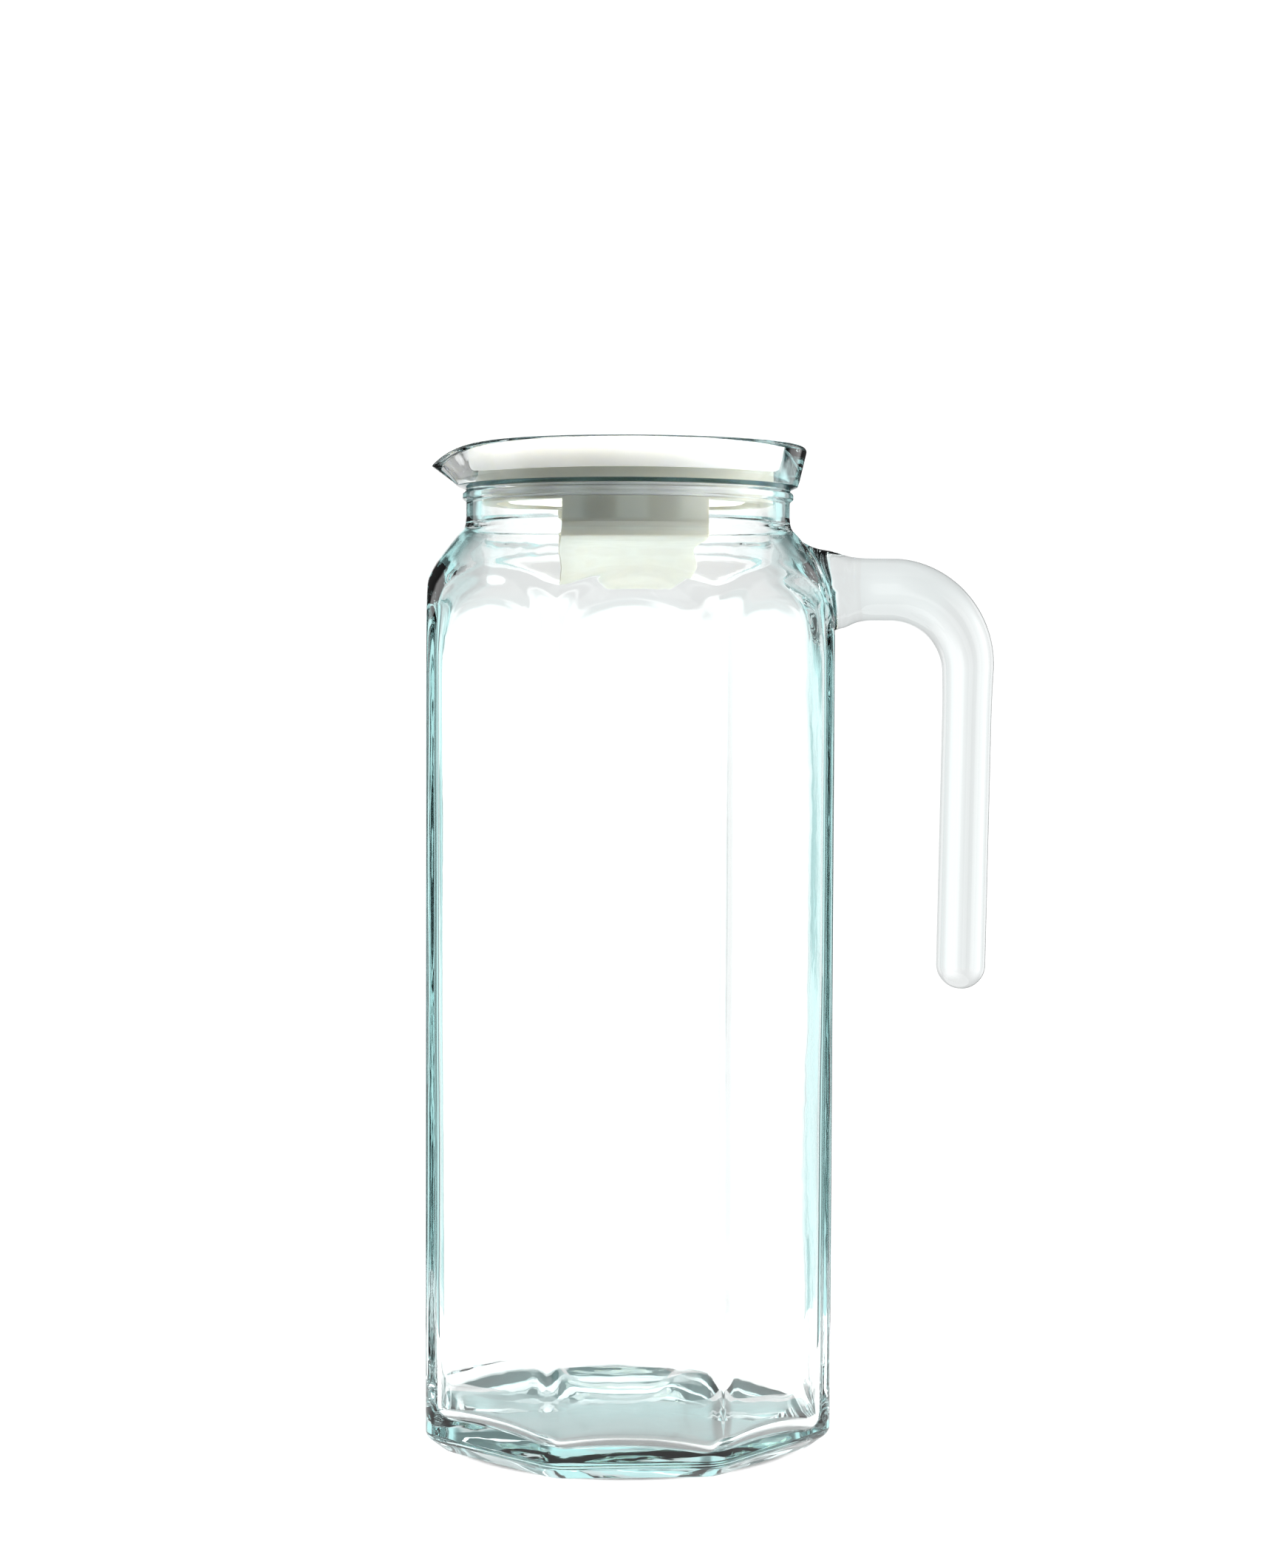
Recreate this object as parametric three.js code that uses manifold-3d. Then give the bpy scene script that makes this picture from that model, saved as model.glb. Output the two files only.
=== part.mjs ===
// Octagonal glass water jug with a fused side handle and a two-part plastic lid that sits down
// in its mouth. Millimetres, +Z up. The origin is the middle of the base, on the surface that the
// jug stands on. The spout points to -X and the handle to +X.
import * as THREE from "three";
import { mergeVertices } from "three/addons/utils/BufferGeometryUtils.js";
import Module from "manifold-3d";

// ---------------------------------------------------------------- driving dimensions

const GAP = 0.3; // clearance between touching pieces
const SIDES = 8; // the body is an octagon

const JUG_HEIGHT = 245; // base to rim
const BODY_APOTHEM = 49.5; // axis to the middle of an outer flat
const CORNER_RADIUS = 52.2; // axis to the rounded upright edges
const WALL = 3.8; // thickness of the flat walls
const FOOT_APOTHEM = 44.8; // axis to the edge of the resting face
const HEEL_HEIGHT = 3.9; // sloping heel between resting face and wall
const FLOOR_THICKNESS = 6.5; // glass under the water
const FLOOR_FILLET = 9; // inner curve from floor to wall

const SHOULDER_Z = 202; // upright edges start to curve in here
const OUTER_SHOULDER = [
  [51.6, 205.4], [50.7, 208.9], [49.4, 212.4], [47.3, 216.3], [44.6, 220.1], [42.2, 222.9],
];
const INNER_SHOULDER_Z = 201;
const INNER_SHOULDER = [[47.4, 206.2], [45.6, 210.5], [43.0, 214.6], [40.0, 218.6]];
const NECK_Z = 225; // shoulder ends, neck begins
const NECK_RADIUS = 40;
const NECK_BORE = 36.5; // inner radius of the neck
const NECK_BORE_Z = 222.6; // the bore is straight above this height
const COLLAR_Z = 232; // bead round the top of the neck
const COLLAR_RADIUS = 41;
const LIP_Z = 234.9; // underside of the flared lip
const LIP_NECK = 0.5; // height over which bead and bore run into the lip
const LIP_FOOT_RADIUS = 41.7;
const LIP_RADIUS = 44.4; // outer radius of the lip at the top
const LIP_WALL = 3.0;
const RIM_ROUND = 1.4; // rounding over the rim's outer edge
const RIM_FACET = 0.5;
const MOUTH_FLARE = 0.9; // the mouth opens by this much over its last MOUTH_FLARE_HEIGHT
const MOUTH_FLARE_HEIGHT = 1.6;

const SPOUT_REACH = 4.8; // how far the spout is drawn out of the lip
const SPOUT_DROP = 4.9; // how far its tip sinks
const SPOUT_HALF_ANGLE = THREE.MathUtils.degToRad(34);

const ARM_Z = 210.3; // middle of the handle's arm
const ARM_RADIUS = 7.6;
const BEND_X = 65.4; // middle of the handle's bend
const BEND_RADIUS = 19.7; // of the centre line
const GRIP_RADIUS = 6.2;
const GRIP_LEAN = 1.3; // the grip leans in by this much over its length
const HANDLE_END_Z = 110.5; // lowest point of the open-ended grip
const HANDLE_FLATNESS = 1.2; // width over thickness
const ROOT_X = 40; // the arm starts inside the wall and is cut to it
const ROOT_RADIUS = 13.2; // most the hot glass spreads where the arm is stuck on
const ROOT_SPREAD = 4.6; // how much wider than the arm it is at the wall
const ROOT_FADE = 3.4; // length over which that spread dies away
const GRIP_TAPER = 2.4; // the arm thins to the grip over this many bend radii

const COVER_TOP_Z = 243.6; // just below the rim
const COVER_BOTTOM_Z = 238.2;
const COVER_PLATE = 1.8;
const COVER_TOP_RADIUS = 39.8;
const COVER_FOOT_RADIUS = 37.6;
const COVER_RIM_WALL = 1.6;
const COVER_EDGE = 0.8; // chamfer round the top
const COVER_LEDGE = 1; // inside corner under the plate
const GRIP_BAR_WIDTH = 12; // bar between the two finger wells
const WELL_RADIUS = 30; // round side of a finger well
const WELL_FLOOR_Z = 233;
const WELL_WALL = 1.5;

const PLUG_RADIUS = 35.9;
const PLUG_BOTTOM_Z = 220.3;
const PLUG_COLLAR_INNER = 32.4;
const PLUG_PANEL_WALL = 1.8;
const PLUG_FLOOR = 1.5;
const WINDOW_TOP_Z = 230.8; // pouring windows are open from the plug's floor up to here
const PANEL_HALF_WIDTH = 16.8; // the panels between the windows, front and back
const PLUG_TAPER = 1.4; // the plug narrows by this much over its last PLUG_TAPER_HEIGHT
const PLUG_TAPER_HEIGHT = 4;
const GROOVE_Z = 231.6;
const GROOVE_HEIGHT = 2.8;
const GROOVE_RADIUS = 34.1;
const SEAL_CHAMFER = 0.5;

const BODY_STEPS = 48; // facets round the turned glass
const LID_STEPS = 48;
const ROD_STEPS = 20; // facets round the handle
const FILLET_STEPS = 5;
const ROOT_STATIONS = [0, 4, 8, 10, 12, 14, 17, 21, 25]; // cross-sections of the arm, from its start
const BEND_STEPS = 9;
const STRAIGHT_STATION = 40; // a cross-section this far above the grip's tip
const TIP_STATIONS = [1, 0.6, 0.32, 0.12, 0.03]; // cross-sections of the domed tip, in grip radii
const CUT = 5; // how far a cutting solid runs past what it cuts
const WELD = 1e-4; // corners closer than this are one

// ---------------------------------------------------------------- solids from three.js geometry

const wasm = await Module();
wasm.setup();

function toSolid(geometry) {
  geometry.deleteAttribute("normal");
  geometry.deleteAttribute("uv");
  const merged = mergeVertices(geometry, WELD);
  const index = merged.index.array;
  const corners = [];
  for (let i = 0; i < index.length; i += 3) {
    const [a, b, c] = [index[i], index[i + 1], index[i + 2]];
    if (a !== b && b !== c && c !== a) corners.push(a, b, c);
  }
  return new wasm.Manifold(new wasm.Mesh({
    numProp: 3,
    vertProperties: new Float32Array(merged.attributes.position.array),
    triVerts: new Uint32Array(corners),
  }));
}

function toGeometry(solid) {
  const mesh = solid.getMesh();
  const geometry = new THREE.BufferGeometry();
  geometry.setAttribute("position", new THREE.BufferAttribute(mesh.vertProperties, 3));
  geometry.setIndex(new THREE.BufferAttribute(mesh.triVerts, 1));
  geometry.computeVertexNormals();
  return geometry;
}

// A profile of [radius, height] pairs, from the axis out and back, turned about Z.
function turned(profile, steps, phase = 0) {
  const points = profile.map(([radius, height]) => new THREE.Vector2(radius, height));
  return new THREE.LatheGeometry(points, steps, phase).rotateX(Math.PI / 2);
}

// Profile points on the quarter circle that joins a floor at floorZ to a wall at wallR.
function fillet(wallR, floorZ, radius, steps) {
  return Array.from({ length: steps + 1 }, (_, i) => {
    const angle = (Math.PI / 2) * (i / steps);
    return [wallR - radius + radius * Math.sin(angle), floorZ + radius - radius * Math.cos(angle)];
  });
}

// An octagonal prism whose flats face X, Y and the diagonals; the profile gives apothems.
function octagonal(profile) {
  const toCorner = 1 / Math.cos(Math.PI / SIDES);
  const corners = profile.map(([apothem, height]) => [apothem * toCorner, height]);
  return toSolid(turned(corners, SIDES, Math.PI / SIDES));
}

function box(x0, x1, y0, y1, z0, z1) {
  const geometry = new THREE.BoxGeometry(x1 - x0, y1 - y0, z1 - z0);
  geometry.translate((x0 + x1) / 2, (y0 + y1) / 2, (z0 + z1) / 2);
  return toSolid(geometry);
}

// ---------------------------------------------------------------- glass body

// Draws the lip out and down round -X. It fades in over the height of the lip.
function drawSpout(geometry) {
  const position = geometry.attributes.position;
  const point = new THREE.Vector3();
  for (let i = 0; i < position.count; i += 1) {
    point.fromBufferAttribute(position, i);
    const radius = Math.hypot(point.x, point.y);
    const off = Math.abs(Math.atan2(point.y, -point.x)) / SPOUT_HALF_ANGLE;
    if (radius > NECK_BORE / 2 && off < 1 && point.z > LIP_Z) {
      const round = Math.cos((off * Math.PI) / 2) ** 2;
      const rise = Math.min(1, (point.z - LIP_Z) / (JUG_HEIGHT - LIP_Z));
      const reach = SPOUT_REACH * round * rise;
      point.x *= 1 + reach / radius;
      point.y *= 1 + reach / radius;
      point.z -= SPOUT_DROP * round * rise ** 2;
      position.setXYZ(i, point.x, point.y, point.z);
    }
  }
  return geometry;
}

// The turned outside above the upright edges: shoulder, neck, bead and flared lip.
function outerProfile(grow) {
  const outline = [
    [CORNER_RADIUS, -CUT],
    [CORNER_RADIUS, SHOULDER_Z],
    ...OUTER_SHOULDER,
    [NECK_RADIUS, NECK_Z],
    [NECK_RADIUS, COLLAR_Z],
    [COLLAR_RADIUS, COLLAR_Z + LIP_NECK],
    [COLLAR_RADIUS, LIP_Z - LIP_NECK],
    [LIP_FOOT_RADIUS, LIP_Z],
    [LIP_RADIUS, JUG_HEIGHT - RIM_ROUND],
    [LIP_RADIUS - RIM_FACET, JUG_HEIGHT - RIM_FACET],
    [LIP_RADIUS - RIM_ROUND, JUG_HEIGHT],
  ];
  return [[0, -CUT], ...outline.map(([radius, height]) => [radius + grow, height]), [0, JUG_HEIGHT]];
}

function glassOutside(grow = 0) {
  const prism = octagonal([
    [0, -grow],
    [FOOT_APOTHEM + grow, -grow],
    [BODY_APOTHEM + grow, HEEL_HEIGHT],
    [BODY_APOTHEM + grow, JUG_HEIGHT + CUT],
    [0, JUG_HEIGHT + CUT],
  ]);
  return prism.intersect(toSolid(drawSpout(turned(outerProfile(grow), BODY_STEPS))));
}

function glassInside() {
  const mouth = LIP_RADIUS - LIP_WALL + MOUTH_FLARE / 2;
  const insideCorner = CORNER_RADIUS - WALL;
  const turnedInside = toSolid(drawSpout(turned([
    [0, FLOOR_THICKNESS],
    ...fillet(insideCorner, FLOOR_THICKNESS, FLOOR_FILLET, FILLET_STEPS),
    [insideCorner, INNER_SHOULDER_Z],
    ...INNER_SHOULDER,
    [NECK_BORE, NECK_BORE_Z],
    [NECK_BORE, LIP_Z - LIP_NECK],
    [mouth - MOUTH_FLARE, JUG_HEIGHT - MOUTH_FLARE_HEIGHT],
    [mouth, JUG_HEIGHT],
    [mouth, JUG_HEIGHT + CUT],
    [0, JUG_HEIGHT + CUT],
  ], BODY_STEPS)));
  const prism = octagonal([
    [0, 0],
    [BODY_APOTHEM - WALL, 0],
    [BODY_APOTHEM - WALL, JUG_HEIGHT + 2 * CUT],
    [0, JUG_HEIGHT + 2 * CUT],
  ]);
  return turnedInside.intersect(prism);
}

function glassBody() {
  return glassOutside().subtract(glassInside());
}

// ---------------------------------------------------------------- handle

// The centre line in the XZ plane: along the arm, round the bend, down the grip.
function handleCurve() {
  const bendEnd = new THREE.Vector3(BEND_X + BEND_RADIUS, 0, ARM_Z - BEND_RADIUS);
  const tip = new THREE.Vector3(bendEnd.x - GRIP_LEAN, 0, HANDLE_END_Z);
  const path = new THREE.CurvePath();
  const bendStart = new THREE.Vector3(BEND_X, 0, ARM_Z);
  const square = 0.5523 * BEND_RADIUS; // makes the cubic curve a quarter circle
  path.add(new THREE.LineCurve3(new THREE.Vector3(ROOT_X, 0, ARM_Z), bendStart));
  path.add(new THREE.CubicBezierCurve3(
    bendStart,
    new THREE.Vector3(BEND_X + square, 0, ARM_Z),
    new THREE.Vector3(bendEnd.x, 0, bendEnd.z + square),
    bendEnd,
  ));
  path.add(new THREE.LineCurve3(bendEnd, tip));
  return path;
}

// Thickness of the rod at a distance along its centre line.
function rodRadius(along, length) {
  const offWall = along - (BODY_APOTHEM - ROOT_X);
  const spread = ROOT_SPREAD * Math.min(1, Math.exp(-offWall / ROOT_FADE));
  const arm = BEND_X - ROOT_X;
  const toGrip = THREE.MathUtils.smoothstep(along, arm, arm + GRIP_TAPER * BEND_RADIUS);
  const rod = ARM_RADIUS + (GRIP_RADIUS - ARM_RADIUS) * toGrip;
  const fromTip = length - along;
  const dome = fromTip < rod ? Math.sqrt(Math.max(0, 1 - (1 - fromTip / rod) ** 2)) : 1;
  return Math.min(ROOT_RADIUS, rod + spread) * dome;
}

// A turned rod, bent so that its axis follows the handle's centre line.
function handle() {
  const path = handleCurve();
  const length = path.getLength();
  const bendLength = (Math.PI / 2) * BEND_RADIUS;
  const stations = [...ROOT_STATIONS];
  for (let i = 1; i <= BEND_STEPS; i += 1) stations.push(BEND_X - ROOT_X + (bendLength * i) / BEND_STEPS);
  stations.push(length - STRAIGHT_STATION);
  for (const part of TIP_STATIONS) stations.push(length - GRIP_RADIUS * part);
  const profile = [[0, 0], ...stations.map((s) => [rodRadius(s, length), s]), [0, length]];
  const rod = turned(profile, ROD_STEPS);
  const position = rod.attributes.position;
  const across = new THREE.Vector3();
  const spot = new THREE.Vector3();
  for (let i = 0; i < position.count; i += 1) {
    const share = THREE.MathUtils.clamp(position.getZ(i) / length, 1e-6, 1 - 1e-6);
    path.getPointAt(share, spot);
    const ahead = path.getTangentAt(share);
    across.set(ahead.z, 0, -ahead.x);
    spot.addScaledVector(across, position.getX(i));
    spot.y = position.getY(i) * HANDLE_FLATNESS;
    position.setXYZ(i, spot.x, spot.y, spot.z);
  }
  return toSolid(rod).subtract(glassOutside(GAP));
}

// ---------------------------------------------------------------- lid

// One finger well: a half-moon beside the grip bar. side is +1 or -1 in Y.
function well(side, grow, z0, z1) {
  const radius = WELL_RADIUS + grow;
  const round = toSolid(turned([[0, z0], [radius, z0], [radius, z1], [0, z1]], LID_STEPS));
  const near = GRIP_BAR_WIDTH / 2 - grow;
  const far = 2 * WELL_RADIUS;
  const half = side > 0 ? box(-far, far, near, far, z0, z1) : box(-far, far, -far, -near, z0, z1);
  return round.intersect(half);
}

function lidCover() {
  const innerTop = COVER_TOP_RADIUS - COVER_RIM_WALL;
  const innerFoot = COVER_FOOT_RADIUS - COVER_RIM_WALL;
  const plateUnder = COVER_TOP_Z - COVER_PLATE;
  let cover = toSolid(turned([
    [0, plateUnder],
    [innerTop - COVER_LEDGE, plateUnder],
    [innerFoot, COVER_BOTTOM_Z],
    [COVER_FOOT_RADIUS, COVER_BOTTOM_Z],
    [COVER_TOP_RADIUS, COVER_TOP_Z - COVER_EDGE],
    [COVER_TOP_RADIUS - COVER_EDGE, COVER_TOP_Z],
    [0, COVER_TOP_Z],
  ], LID_STEPS));
  for (const side of [1, -1]) {
    cover = cover.add(well(side, WELL_WALL, WELL_FLOOR_Z - WELL_WALL, plateUnder + COVER_PLATE / 2));
  }
  for (const side of [1, -1]) {
    cover = cover.subtract(well(side, 0, WELL_FLOOR_Z, COVER_TOP_Z + CUT));
  }
  return cover;
}

function lidPlug() {
  const topZ = COVER_TOP_Z - COVER_PLATE - GAP;
  const panelInner = PLUG_RADIUS - PLUG_PANEL_WALL;
  let plug = toSolid(turned([
    [0, PLUG_BOTTOM_Z],
    [PLUG_RADIUS - PLUG_TAPER, PLUG_BOTTOM_Z],
    [PLUG_RADIUS, PLUG_BOTTOM_Z + PLUG_TAPER_HEIGHT],
    [PLUG_RADIUS, GROOVE_Z],
    [GROOVE_RADIUS, GROOVE_Z],
    [GROOVE_RADIUS, GROOVE_Z + GROOVE_HEIGHT],
    [PLUG_RADIUS, GROOVE_Z + GROOVE_HEIGHT],
    [PLUG_RADIUS, topZ],
    [PLUG_COLLAR_INNER, topZ],
    [PLUG_COLLAR_INNER, WINDOW_TOP_Z],
    [panelInner, WINDOW_TOP_Z],
    [panelInner, PLUG_BOTTOM_Z + PLUG_TAPER_HEIGHT],
    [panelInner - PLUG_TAPER, PLUG_BOTTOM_Z + PLUG_FLOOR],
    [0, PLUG_BOTTOM_Z + PLUG_FLOOR],
  ], LID_STEPS));
  const reach = PLUG_RADIUS + CUT;
  for (const [x0, x1] of [[-reach, -PANEL_HALF_WIDTH], [PANEL_HALF_WIDTH, reach]]) {
    plug = plug.subtract(box(x0, x1, -reach, reach, PLUG_BOTTOM_Z - CUT, WINDOW_TOP_Z));
  }
  return plug;
}

function sealRing() {
  const inner = GROOVE_RADIUS + GAP;
  const outer = NECK_BORE - GAP;
  const low = GROOVE_Z + GAP;
  const high = GROOVE_Z + GROOVE_HEIGHT - GAP;
  return toSolid(turned([
    [inner, low],
    [outer - SEAL_CHAMFER, low],
    [outer, low + SEAL_CHAMFER],
    [outer, high - SEAL_CHAMFER],
    [outer - SEAL_CHAMFER, high],
    [inner, high],
    [inner, low],
  ], LID_STEPS));
}

// ---------------------------------------------------------------- assembly

const materials = {
  glass: { color: 0xd9ecec, roughness: 0.05, metalness: 0, transparent: true, opacity: 0.35 },
  whitePlastic: { color: 0xf3f1ea, roughness: 0.45, metalness: 0 },
  seal: { color: 0xe9ecdf, roughness: 0.6, metalness: 0 },
};

function piece(name, solid, look) {
  const mesh = new THREE.Mesh(toGeometry(solid), new THREE.MeshStandardMaterial(materials[look]));
  mesh.name = name;
  return mesh;
}

const jug = new THREE.Group();
jug.add(piece("glass_body", glassBody(), "glass"));
jug.add(piece("handle", handle(), "glass"));

const lid = new THREE.Group();
lid.add(piece("lid_cover", lidCover(), "whitePlastic"));
lid.add(piece("lid_plug", lidPlug(), "whitePlastic"));
lid.add(piece("seal_ring", sealRing(), "seal"));
jug.add(lid);

export default jug;
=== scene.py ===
"""Looks of the octagonal glass water jug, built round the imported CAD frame."""
import math

import bmesh
import bpy
import numpy as np
from mathutils import Matrix, Vector


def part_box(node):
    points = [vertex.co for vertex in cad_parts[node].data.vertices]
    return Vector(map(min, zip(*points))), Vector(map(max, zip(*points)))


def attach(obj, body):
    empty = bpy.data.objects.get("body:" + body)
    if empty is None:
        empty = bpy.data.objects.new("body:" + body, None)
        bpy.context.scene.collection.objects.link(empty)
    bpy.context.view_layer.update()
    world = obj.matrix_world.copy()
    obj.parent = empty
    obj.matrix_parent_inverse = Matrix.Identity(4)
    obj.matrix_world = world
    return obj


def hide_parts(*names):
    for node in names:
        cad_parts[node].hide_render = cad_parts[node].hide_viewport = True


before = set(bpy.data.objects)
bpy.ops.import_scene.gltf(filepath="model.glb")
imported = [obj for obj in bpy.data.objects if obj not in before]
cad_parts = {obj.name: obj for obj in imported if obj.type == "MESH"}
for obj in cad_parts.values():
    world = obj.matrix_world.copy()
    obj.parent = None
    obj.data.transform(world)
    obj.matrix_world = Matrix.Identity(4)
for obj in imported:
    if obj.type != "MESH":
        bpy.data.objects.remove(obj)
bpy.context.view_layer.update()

# ---------------------------------------------------------------- sizes, in millimetres

MM = 0.001


def cad_box(node):
    """Lowest and highest corner of a CAD node, in millimetres."""
    low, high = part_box(node)
    return [c / MM for c in low], [c / MM for c in high]


_, GLASS_HIGH = cad_box("glass_body")
HANDLE_LOW, _ = cad_box("handle")

SIDES = 8
FACET = 2 * math.pi / SIDES
HALF_FACET = FACET / 2
APOTHEM = GLASS_HIGH[0]  # axis to the middle of an outer flat
TOP = GLASS_HIGH[2]
OUTER_CORNER = 8.0  # rounding of the upright edges outside
INNER_CORNER = 3.0  # and inside, at the shoulder
CORNER_GROWTH = 2.0  # how much rounder the inner edges are at the floor
NO_CUT = APOTHEM + 8  # a radius that cuts nothing off the octagon
WALL = 3.8
FOOT = APOTHEM - 4.6
HEEL = 3.9
WALL_FOOT = HEEL + 8  # the plain wall starts here
UNDER_FLAT = FOOT - 1.6
UNDER_HOLLOW = 0.9  # rise of the underside at the axis
UNDER_RIM = 0.72  # where the hollow ends, as a share of the underside
FLOOR_Z = 6.0  # inner floor at the axis
FLOOR_TILT = 0.045
TILT_TOP = 30.0
TILT_FADE = 24.0
NECK_RADIUS = 40.0
NECK_BORE = 36.5
LIP_Z = 234.9  # the spout's pull starts here
LIP_RADIUS = 44.4
SPOUT_REACH = 4.7  # how far the spout's tip is drawn out
SPOUT_DROP = 4.7  # and down
SPOUT_BLUNT = 5.0  # degrees round the axis
SPOUT_SPREAD = 13.0

WALL_SWELL = 0.8  # extra wall thickness just above the floor
FILLET_Z = 4.0
FILLET_R = 6.0
FILLET_LIFT = 2.4  # the fillet starts this much higher at the middle of a flat
FACET_BLEND = 1.0  # the octagon and the round shapes run into each other over this width,
OUTER_BLEND = 0.8  # at the outer shoulder over this one
INNER_BLEND = 3.0  # and at the inner one over this one
RIPPLE = 0.1
RIPPLE_PITCH = 61.0
RIPPLE_LOW = 14.0  # the ripple fades in above this height
RIPPLE_LOW_FADE = 20.0
RIPPLE_HIGH = 206.0  # and is gone at this one
RIPPLE_HIGH_FADE = 14.0
BULGE = 1.2  # how far the inner wall swells behind the handle's root
BULGE_HALF_WIDTH = 9.0
BULGE_HALF_HEIGHT = 9.5
BULGE_DROP = 4.0  # the bulge's middle is this far below the handle's arm
BORE_FOOT = 224.0  # the bore is even above this height

# outlines: (radius, z), and with a third number (radius, z, rounding)
OUTER_SHOULDER = [(53.6, 196.0), (53.1, 200.4), (52.3, 204.0), (51.4, 207.0), (50.5, 209.6), (49.4, 212.4),
                  (47.3, 216.3), (44.6, 220.0), (42.3, 222.9), (40.5, 225.0), (NECK_RADIUS, 227.4)]
INNER_SHOULDER = [(NECK_BORE, 222.8), (37.2, 221.0), (39.2, 218.6), (42.3, 214.8), (45.5, 210.7),
                  (47.7, 206.9), (49.0, 203.4), (50.2, 198.0)]
LIP_FOOT = (42.4, 236.6, 0)
MOUTH = (NECK_BORE + 0.9, 235.9, 0)
NECK_AND_BEAD = [(NECK_RADIUS, 227.6, 0), (NECK_RADIUS, 231.3, 0.7), (40.9, 232.0, 0.5), (40.9, 233.3, 0.5),
                 (39.8, 234.2, 0.35), (41.9, 235.1, 0.5), LIP_FOOT]
LIP_AND_RIM = [LIP_FOOT, (LIP_RADIUS, TOP, 1.5), (LIP_RADIUS - 3.1, TOP, 1.4), MOUTH]
BORE = [MOUTH, (NECK_BORE, 233.3, 3.0), (NECK_BORE, 223.6, 0)]

# ---------------------------------------------------------------- mesh helpers


def collect(name, verts, faces):
    """A new object with this mesh."""
    mesh = bpy.data.meshes.new(name)
    mesh.from_pydata([tuple(v) for v in verts], [], [tuple(f) for f in faces])
    mesh.validate()
    obj = bpy.data.objects.new(name, mesh)
    bpy.context.scene.collection.objects.link(obj)
    return obj


def smooth(obj):
    """Shades a piece smooth."""
    for polygon in obj.data.polygons:
        polygon.use_smooth = True


def soft_min(a, b, width):
    """The smaller of a and b, with the corner between them rounded over width."""
    near = np.maximum(width - np.abs(a - b), 0.0) / width
    return np.minimum(a, b) - near * near * width / 4


def rounded(points, steps=6):
    """A polyline of (u, v, fillet radius) turned into (u, v) with arcs at its corners."""
    out = []
    for i, (u, v, radius) in enumerate(points):
        here = Vector((u, v))
        if radius == 0 or i in (0, len(points) - 1):
            out.append((u, v))
            continue
        before = Vector(points[i - 1][:2]) - here
        after = Vector(points[i + 1][:2]) - here
        half = before.angle(after) / 2
        reach = min(radius / math.tan(half), before.length * 0.49, after.length * 0.49)
        radius = reach * math.tan(half)
        start = here + before.normalized() * reach
        middle = here + (before.normalized() + after.normalized()).normalized() * (radius / math.sin(half))
        first = start - middle
        turn = math.pi - 2 * half
        if (before.x * after.y - before.y * after.x) > 0:
            turn = -turn
        for k in range(steps + 1):
            angle = turn * k / steps
            c, s = math.cos(angle), math.sin(angle)
            out.append((middle.x + first.x * c - first.y * s, middle.y + first.x * s + first.y * c))
    return out


def curve_through(points, per_span=5):
    """A smooth curve through (u, v) points (Catmull-Rom)."""
    p = [Vector(q) for q in points]
    p = [2 * p[0] - p[1]] + p + [2 * p[-1] - p[-2]]
    out = []
    for i in range(1, len(p) - 2):
        for k in range(per_span):
            t = k / per_span
            a, b, c, d = p[i - 1], p[i], p[i + 1], p[i + 2]
            q = 0.5 * ((2 * b) + (c - a) * t + (2 * a - 5 * b + 4 * c - d) * t * t
                       + (3 * b - a - 3 * c + d) * t ** 3)
            out.append((q.x, q.y))
    out.append(tuple(p[-2]))
    return out


# ---------------------------------------------------------------- the glass body's surface

FACET_STEPS = 22  # columns across one flat
CROWDING = math.pi / 2 * 0.82  # how strongly the columns bunch at the edges


def columns():
    """Angles round the axis, closer together at the upright edges."""
    angles = []
    for side in range(SIDES):
        for k in range(FACET_STEPS):
            across = 2 * k / FACET_STEPS - 1
            bunched = math.sin(across * CROWDING) / math.sin(CROWDING)
            angles.append(side * FACET + HALF_FACET * bunched)
    return np.array(angles)


THETA = columns()
OFF_FLAT = (THETA + HALF_FACET) % FACET - HALF_FACET  # angle from the nearest flat's middle
TO_CORNER = np.abs(OFF_FLAT) / HALF_FACET  # 0 at the middle of a flat, 1 at an edge
OFF_SPOUT = np.abs(THETA % (2 * math.pi) - math.pi)


def spout_share():
    """How much of the spout's pull reaches each column: 1 at -X, fading round the lip."""
    off = np.sqrt(np.degrees(OFF_SPOUT) ** 2 + SPOUT_BLUNT ** 2) - SPOUT_BLUNT
    return np.exp(-off / SPOUT_SPREAD)


SPOUT = spout_share()


def octagon(apothem, corner):
    """Distance to an octagon's outline in each column, its edges rounded to this corner radius."""
    off_corner = HALF_FACET - np.abs(OFF_FLAT)
    centre = (apothem - corner) / math.cos(HALF_FACET)
    reach = math.atan2(corner * math.sin(HALF_FACET), centre + corner * math.cos(HALF_FACET))
    inside_arc = np.maximum(corner ** 2 - (centre * np.sin(off_corner)) ** 2, 0.0)
    arc = centre * np.cos(off_corner) + np.sqrt(inside_arc)
    return np.where(off_corner < reach, arc, apothem / np.cos(OFF_FLAT))


def ring(apothem, radius, z, blend, corner=OUTER_CORNER):
    """One closed row: a rounded octagon, cut down to this radius where that is smaller."""
    r = soft_min(octagon(apothem, corner), np.full_like(THETA, radius), blend)
    return r, np.full_like(THETA, z)


def lip_row(radius, z):
    """A round row, which the spout draws out and down the more the nearer it is to the rim."""
    share = max(0.0, (z - LIP_Z) / (TOP - LIP_Z))
    return radius + SPOUT_REACH * SPOUT * share, z - SPOUT_DROP * SPOUT * share ** 1.3


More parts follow.
